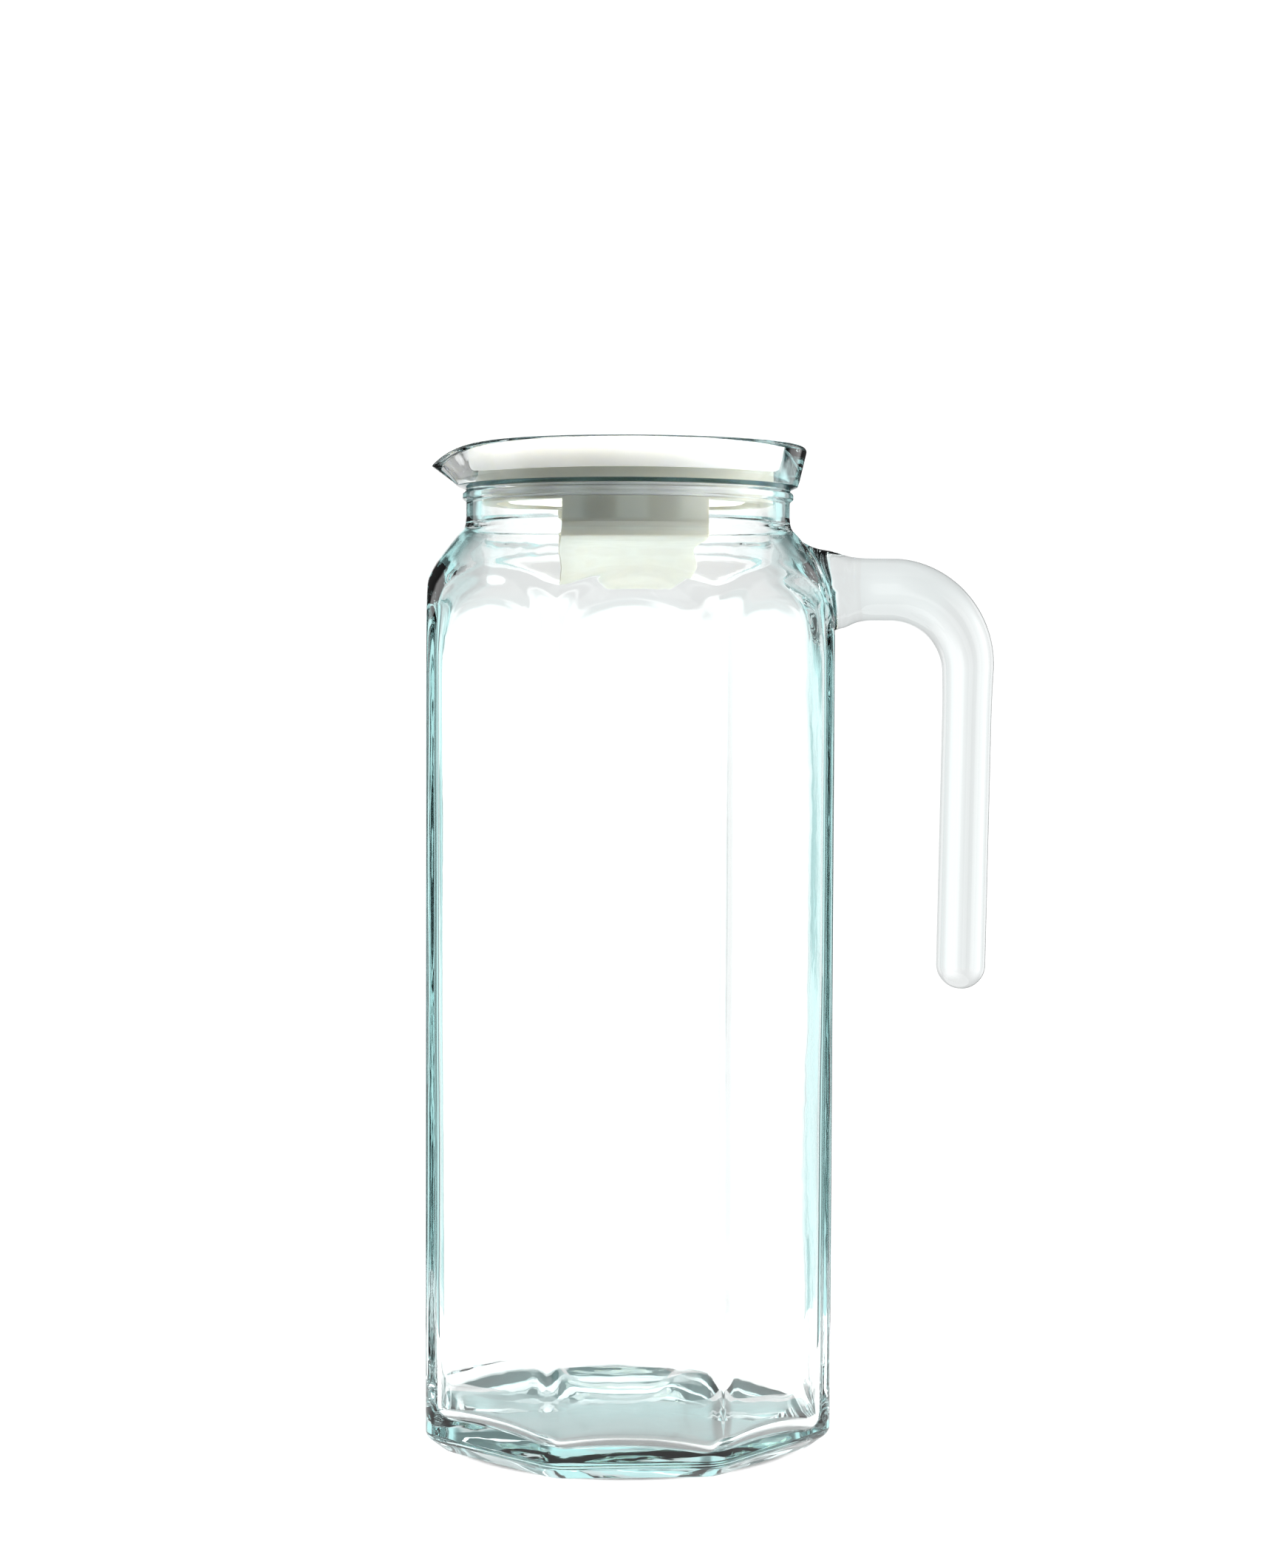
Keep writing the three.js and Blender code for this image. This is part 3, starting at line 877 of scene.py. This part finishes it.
def plastic_material(name, scatter, emission, pale, deep):
    """Waxy moulded plastic with a fine grain.

    scatter: how far light spreads in it, in metres. emission: strength of a painted glow, light painted into
    the plastic though it is no lamp."""
    material, tree, shader, _ = node_material(name)
    tone = blend_colour(tree, spread(tree, noise(tree, 60.0, 3.0), 0, 1), pale, deep)
    tree.links.new(tone, shader.inputs["Base Color"])
    tree.links.new(spread(tree, noise(tree, 240.0, 3.0), 0.34, 0.5), shader.inputs["Roughness"])
    add_bump(tree, shader, [(noise(tree, 90.0, 1.0), 0.00012), (noise(tree, 2200.0, 2.0), 0.000015)])
    shader.inputs["Subsurface Weight"].default_value = 0.85
    shader.inputs["Subsurface Scale"].default_value = scatter
    shader.inputs["Subsurface Radius"].default_value = (1.0, 0.95, 0.75)
    shader.inputs["Emission Color"].default_value = (1.0, 0.99, 0.93, 1)
    shader.inputs["Emission Strength"].default_value = emission
    return material


def seal_material():
    """Milky silicone rubber."""
    material, tree, shader, _ = node_material("seal_silicone")
    patches = spread(tree, noise(tree, 80.0, 2.0), 0, 1)
    tone = blend_colour(tree, patches, (0.82, 0.84, 0.78), (0.76, 0.79, 0.73))
    tree.links.new(tone, shader.inputs["Base Color"])
    tree.links.new(spread(tree, noise(tree, 300.0, 3.0), 0.45, 0.62), shader.inputs["Roughness"])
    add_bump(tree, shader, [(noise(tree, 1500.0, 2.0), 0.00002)])
    shader.inputs["Subsurface Weight"].default_value = 0.9
    shader.inputs["Subsurface Scale"].default_value = 0.003
    shader.inputs["Subsurface Radius"].default_value = (1.0, 1.0, 0.8)
    return material


def floor_material():
    """A pale floor that glows white, with a painted shadow under the jug where it glows only weakly."""
    material, tree, shader, _ = node_material("pale_floor")
    tone = blend_colour(tree, spread(tree, noise(tree, 3.0), 0, 1), (0.26, 0.26, 0.26), (0.24, 0.24, 0.24))
    tree.links.new(tone, shader.inputs["Base Color"])
    radius = off_axis(tree, place_of(tree, "Object"))
    glow_with_painted_shadow = ramp_node(tree, math_node(tree, "MULTIPLY", radius, GLOW_SCALE), [
        (GLOW_INNER * MM * GLOW_SCALE, PAINTED_SHADOW_GLOW), (GLOW_OUTER * MM * GLOW_SCALE, GLOW_AROUND)])
    tree.links.new(glow_with_painted_shadow, shader.inputs["Emission Color"])
    shader.inputs["Emission Strength"].default_value = 1.0
    tree.links.new(spread(tree, noise(tree, 25.0, 3.0), 0.6, 0.8), shader.inputs["Roughness"])
    return material


# ---------------------------------------------------------------- stage, light and camera

WHITE_LEVEL = 1.2  # seen directly, or through the hollow body near the horizon
HIGH_LEVEL = 0.6  # seen through the hollow body higher up
ROD_LEVEL = 0.98  # seen through a solid rod, near the horizon
ROD_WAVE = 0.12
ROD_TILTED = 0.84  # and away from the horizon
ROD_WALLS = 3.5  # fewer glass surfaces than this means a solid rod
WINDOWS = 8  # bright windows round the dark room
ROOM_LEVEL = 0.05
WINDOW_LEVEL = 1.1
CEILING_LEVEL = 0.5
INNER_DARK = 0.2
INNER_BRIGHT = 1.1
INNER_HIGH = 0.8
INNER_BAND = (0.25, 0.6)  # the windows fade out between these heights of a direction
INNER_TINT = (0.63, 0.97, 0.97)
TOP_LAMP = 8.0
LOW_LAMP = 2.1
SIDE_LAMP = 6.0
SIDE_LEAN = 4.0  # the right-hand light is stronger by this much, the left-hand one weaker
SIDE_UPPER = 0.35  # share of the side light left above the horizon
BACK_GAP = 0.5
GAP_TURN = math.radians(15)  # the unlit gaps are turned this far off Y
GAP_LEFT = 0.08  # share of the top and low light left in the gaps
FRONT_LAMP = 0.05
SOFT_LAMP = 0.17
SOFT_TOP = 0.34
SOFT_LEAN = 0.2
FLOOR_RADIUS = 0.14
FLOOR_DROP = 0.0001
GLOW_SCALE = 5.0  # brings metres into a colour ramp's range
# the floor's glow falls to a painted shadow under the jug between these two radii
GLOW_INNER = FOOT - 0.5
GLOW_OUTER = FOOT + 2.5
PAINTED_SHADOW_GLOW = 0.2
GLOW_AROUND = 0.93


def make_stage():
    """The floor, and the studio round it."""
    around = [2 * math.pi * k / 96 for k in range(96)]
    rim = [(FLOOR_RADIUS * math.cos(a), FLOOR_RADIUS * math.sin(a), -FLOOR_DROP) for a in around]
    floor = collect("floor", rim, [range(len(rim))])
    floor.data.materials.append(floor_material())
    world = bpy.data.worlds.new("studio")
    bpy.context.scene.world = world
    world.use_nodes = True
    tree = world.node_tree
    background = tree.nodes["Background"]
    studio_light(tree, background)


def studio_light(tree, background):
    """How bright the surroundings are, by a ray's direction and by what it has met before.

    Looked at directly or through the hollow body they are white. Through a solid rod of glass they
    are a shade greyer. What glass mirrors on its outside is a dark room with bright upright windows,
    and what it mirrors inside itself is a lighter, blue-green room. The lid and the floor are lit by
    lamp_level() where they are seen through glass, and by soft_level() elsewhere."""
    split = place_of(tree, "Generated")
    path = tree.nodes.new("ShaderNodeLightPath")
    mirrored = math_node(tree, "MINIMUM", path.outputs["Glossy Depth"], 1.0)
    lit = math_node(tree, "MINIMUM", path.outputs["Diffuse Depth"], 1.0)
    seen_through = math_node(tree, "MINIMUM", path.outputs["Transmission Depth"], 1.0)
    few_walls = math_node(tree, "LESS_THAN", path.outputs["Transmission Depth"], ROD_WALLS)
    rod = math_node(tree, "MULTIPLY", few_walls, seen_through)
    white = mix_levels(tree, seen_through, WHITE_LEVEL, body_level(tree, split))
    plain = mix_levels(tree, rod, white, rod_level(tree, split))
    room = mix_levels(tree, seen_through, room_level(tree, split), inner_level(tree, split))
    seen = mix_levels(tree, mirrored, plain, room)
    lamps = mix_levels(tree, seen_through, soft_level(tree, split), lamp_level(tree, split))
    tree.links.new(mix_levels(tree, lit, seen, lamps), background.inputs["Strength"])
    inside = math_node(tree, "MULTIPLY", mirrored, seen_through)
    inside = math_node(tree, "MULTIPLY", inside, math_node(tree, "SUBTRACT", 1.0, lit))
    inside = math_node(tree, "MULTIPLY", inside, near_level(tree, split, *INNER_BAND))
    tree.links.new(blend_colour(tree, inside, (1, 1, 1), INNER_TINT), background.inputs["Color"])


def up_ramp(tree, split, stops):
    """A ramp over how far the direction points up."""
    return ramp_node(tree, split.outputs["Z"], stops)


def window_wave(tree, split):
    """1 towards +X and every other window, and -1 half way between."""
    turn = math_node(tree, "ARCTAN2", split.outputs["Y"], split.outputs["X"])
    return math_node(tree, "COSINE", math_node(tree, "MULTIPLY", turn, float(WINDOWS)))


def window_bands(tree, split, stops):
    """A ramp from between the windows, at 0, to their middle, at 1."""
    half = math_node(tree, "ADD", math_node(tree, "MULTIPLY", window_wave(tree, split), 0.5), 0.5)
    return ramp_node(tree, half, stops)


def near_level(tree, split, low, high):
    """1 where the direction is close to level, 0 above high."""
    return ramp_node(tree, math_node(tree, "ABSOLUTE", split.outputs["Z"]), [(low, 1), (high, 0)])


def body_level(tree, split):
    """White to a little above the horizon, greyer higher up."""
    high = up_ramp(tree, split, [(0.06, 0), (0.14, 0.6), (0.5, 1)])
    return mix_levels(tree, high, WHITE_LEVEL, HIGH_LEVEL)


def rod_level(tree, split):
    """Greyer at the middle of each window and away from the horizon, whiter between the windows."""
    tilt = ramp_node(tree, math_node(tree, "ABSOLUTE", split.outputs["Z"]), [(0.1, 0), (0.5, 1)])
    level = math_node(tree, "MULTIPLY", window_wave(tree, split), -ROD_WAVE)
    level = math_node(tree, "ADD", level, ROD_LEVEL)
    return mix_levels(tree, tilt, level, ROD_TILTED)


def inner_level(tree, split):
    """What glass shows by reflection inside itself."""
    bands = window_bands(tree, split, [(0.15, INNER_DARK), (0.7, INNER_BRIGHT)])
    return mix_levels(tree, near_level(tree, split, *INNER_BAND), INNER_HIGH, bands)


def room_level(tree, split):
    """What glass mirrors on its outside: a dark room with bright windows and a grey ceiling."""
    windows = window_bands(tree, split, [(0.35, ROOM_LEVEL), (0.75, WINDOW_LEVEL)])
    low = mix_levels(tree, near_level(tree, split, 0.3, 0.5), ROOM_LEVEL, windows)
    ceiling = up_ramp(tree, split, [(0.75, 0), (0.9, CEILING_LEVEL)])
    return math_node(tree, "MAXIMUM", low, ceiling)


def backward(tree, split):
    """How far the direction points away from the front, -1 to 1, whatever its height."""
    height = math_node(tree, "POWER", split.outputs["Z"], 2.0)
    flat = math_node(tree, "SQRT", math_node(tree, "SUBTRACT", 1.0, height))
    ahead = math_node(tree, "MULTIPLY", split.outputs["Y"], math.cos(GAP_TURN))
    across = math_node(tree, "MULTIPLY", split.outputs["X"], math.sin(GAP_TURN))
    ahead = math_node(tree, "ADD", ahead, across)
    return math_node(tree, "DIVIDE", ahead, math_node(tree, "MAXIMUM", flat, 0.001))


def lamp_level(tree, split):
    """Light on what is seen through glass: from the top and the sides, with gaps in front and behind."""
    top = math_node(tree, "MULTIPLY", up_ramp(tree, split, [(0.5, 0), (0.85, 1)]), TOP_LAMP)
    down = math_node(tree, "MULTIPLY", split.outputs["Z"], -1.0)
    low = math_node(tree, "MULTIPLY", ramp_node(tree, down, [(0.05, 0), (0.3, 1)]), LOW_LAMP)
    behind = backward(tree, split)
    in_front = math_node(tree, "MULTIPLY", behind, -1.0)
    front_gap = ramp_node(tree, in_front, [(0.01, 0), (0.55, 1)])
    back_gap = ramp_node(tree, behind, [(0.2, 0), (0.8, BACK_GAP)])
    gap = math_node(tree, "MAXIMUM", front_gap, back_gap)
    side = math_node(tree, "ADD", math_node(tree, "MULTIPLY", split.outputs["X"], SIDE_LEAN), SIDE_LAMP)
    upper = up_ramp(tree, split, [(0.05, 0), (0.35, 1)])
    side = math_node(tree, "MULTIPLY", side, mix_levels(tree, upper, 1.0, SIDE_UPPER))
    around = mix_levels(tree, gap, side, FRONT_LAMP)
    off_gap = mix_levels(tree, gap, 1.0, GAP_LEFT)
    ends = math_node(tree, "MULTIPLY", math_node(tree, "ADD", top, low), off_gap)
    return math_node(tree, "ADD", around, ends)


def soft_level(tree, split):
    """Light on what is seen directly: soft, from above and a little from the right."""
    top = math_node(tree, "MULTIPLY", up_ramp(tree, split, [(0.0, 0), (0.9, 1)]), SOFT_TOP)
    lean = math_node(tree, "MULTIPLY", split.outputs["X"], SOFT_LEAN)
    return math_node(tree, "ADD", math_node(tree, "ADD", lean, SOFT_LAMP), top)


def make_camera():
    """The camera, a little to the left of the front and above the middle of the jug."""
    distance = 0.7333
    azimuth = math.radians(-3.2)
    height = 0.1924
    focal_px = 4000.0
    frame_height = 2122
    sensor = 36.0
    pitch = math.radians(-2.39)
    yaw = math.radians(-0.285)
    roll = math.radians(0.23)
    data = bpy.data.cameras.new("camera")
    data.sensor_fit = "AUTO"
    data.sensor_width = sensor
    data.lens = focal_px / frame_height * sensor
    data.clip_start = 0.01
    camera = bpy.data.objects.new("camera", data)
    bpy.context.scene.collection.objects.link(camera)
    place = Vector((distance * math.sin(azimuth), -distance * math.cos(azimuth), height))
    turn = Matrix.Rotation(azimuth + yaw, 4, "Z") @ Matrix.Rotation(math.pi / 2 + pitch, 4, "X")
    camera.matrix_world = Matrix.Translation(place) @ turn @ Matrix.Rotation(roll, 4, "Z")
    bpy.context.scene.camera = camera


# ---------------------------------------------------------------- assembly

make_camera()
make_stage()


def dress(piece, material, body, slot, *nodes):
    """Gives a finished piece its material, its body and the CAD nodes it stands for."""
    piece.data.materials.clear()
    piece.data.materials.append(material)
    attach(piece, body)
    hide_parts(*nodes)


dress(jug_glass(), glass_material(), "jug", "clear_glass", "glass_body", "handle")
# the cover plastic glows with painted light, and the plug plastic is greyed as painted shade
cover_plastic_painted_glow = plastic_material("cover_plastic_painted_glow", COVER_SCATTER, COVER_PAINTED_GLOW, COVER_PALE, COVER_DEEP)
plug_plastic_painted_shade = plastic_material("plug_plastic_painted_shade", PLUG_SCATTER, 0.0, PLUG_SHADED_PALE, PLUG_SHADED_DEEP)
dress(lid_cover(), cover_plastic_painted_glow, "lid", "white_plastic", "lid_cover")
dress(lid_plug(), plug_plastic_painted_shade, "lid", "white_plastic", "lid_plug")
dress(seal_ring(), seal_material(), "seal", "seal_silicone", "seal_ring")

bpy.context.scene.view_settings.view_transform = "Standard"
bpy.context.scene.cycles.max_bounces = 24
bpy.context.scene.cycles.glossy_bounces = 16
bpy.context.scene.cycles.transmission_bounces = 20
